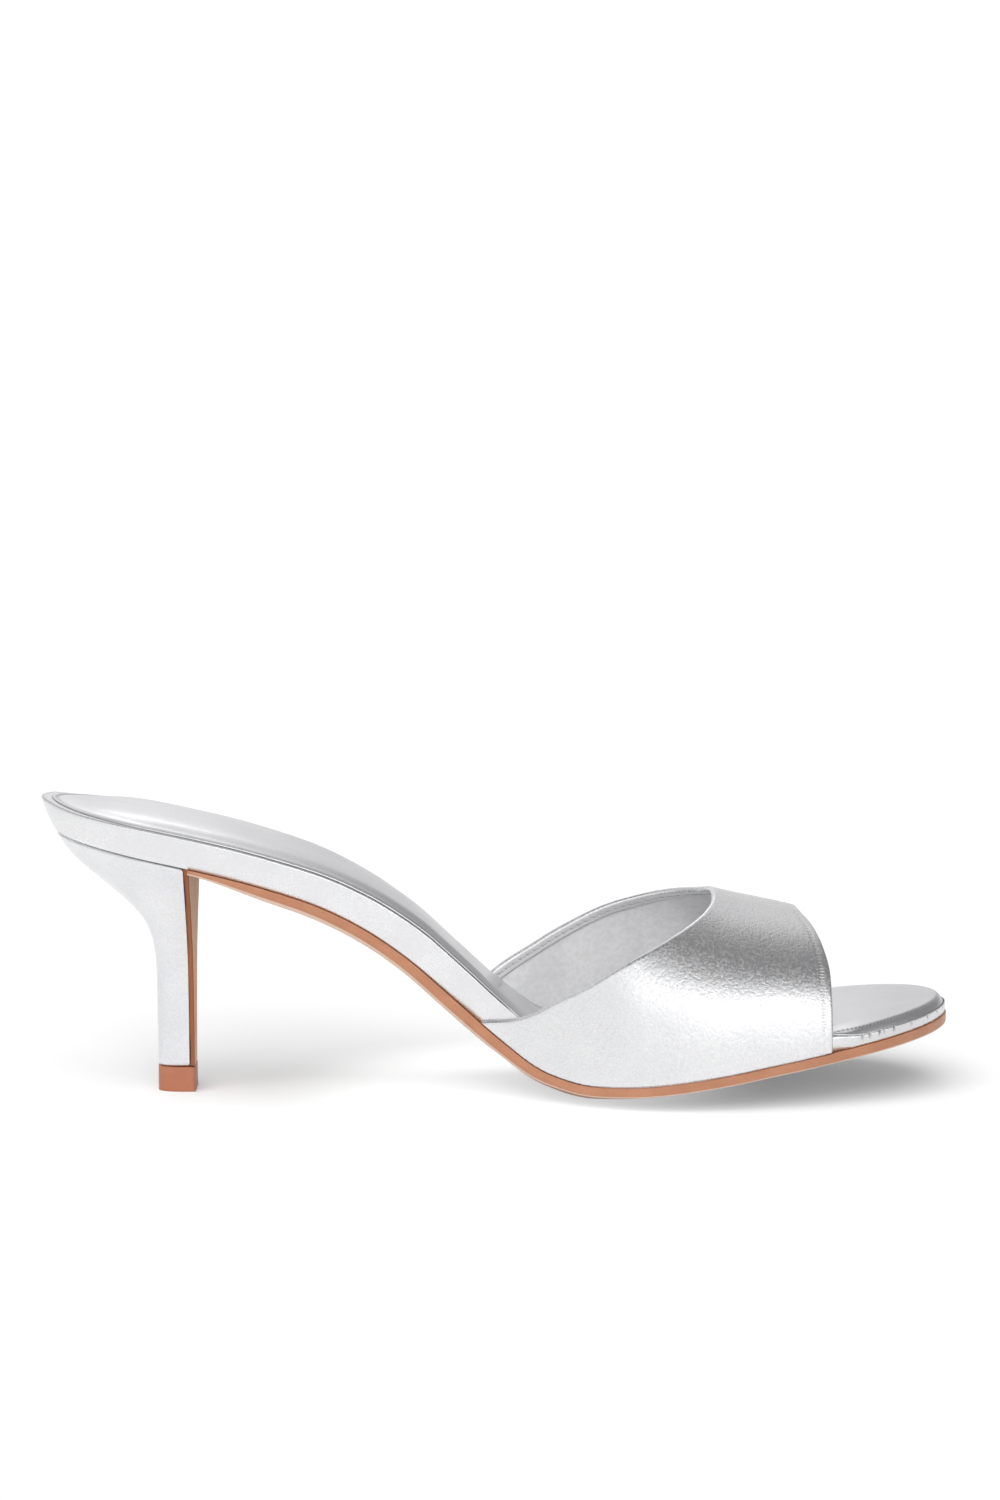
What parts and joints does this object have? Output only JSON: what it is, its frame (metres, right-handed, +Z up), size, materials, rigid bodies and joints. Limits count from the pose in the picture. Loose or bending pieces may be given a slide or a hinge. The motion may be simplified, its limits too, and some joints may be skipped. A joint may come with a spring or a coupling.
{
  "type": "heeled shoe",
  "caption": "Open-toe backless mule for the right foot: one wide band over the forefoot, padded bed, thin sole and a slim mid-height heel.",
  "frame": {"origin": "on the floor, below the middle of the shoe's box", "axes": "+X towards the toe, +Y to the big-toe side, +Z up"},
  "size_m": [0.2312, 0.0774, 0.0763],
  "materials": {
    "tan_sole": "smooth, satin, dyed",
    "tan_heel_cover": "smooth, satin, dyed",
    "silver_heel_cover": "metallic foil, fine grain",
    "terracotta_top_piece": "smooth, matt",
    "silver_leather": "metallic foil, soft gloss, fine crackle",
    "silver_sock_leather": "metallic foil, satin, padded"
  },
  "bodies": {
    "root": {"outsole": "tan_sole", "heel_breast_cover": "tan_heel_cover", "heel": "silver_heel_cover", "top_piece": "terracotta_top_piece", "insole": "silver_leather", "sock": "silver_sock_leather", "upper": "silver_leather"}
  },
  "joints": []
}
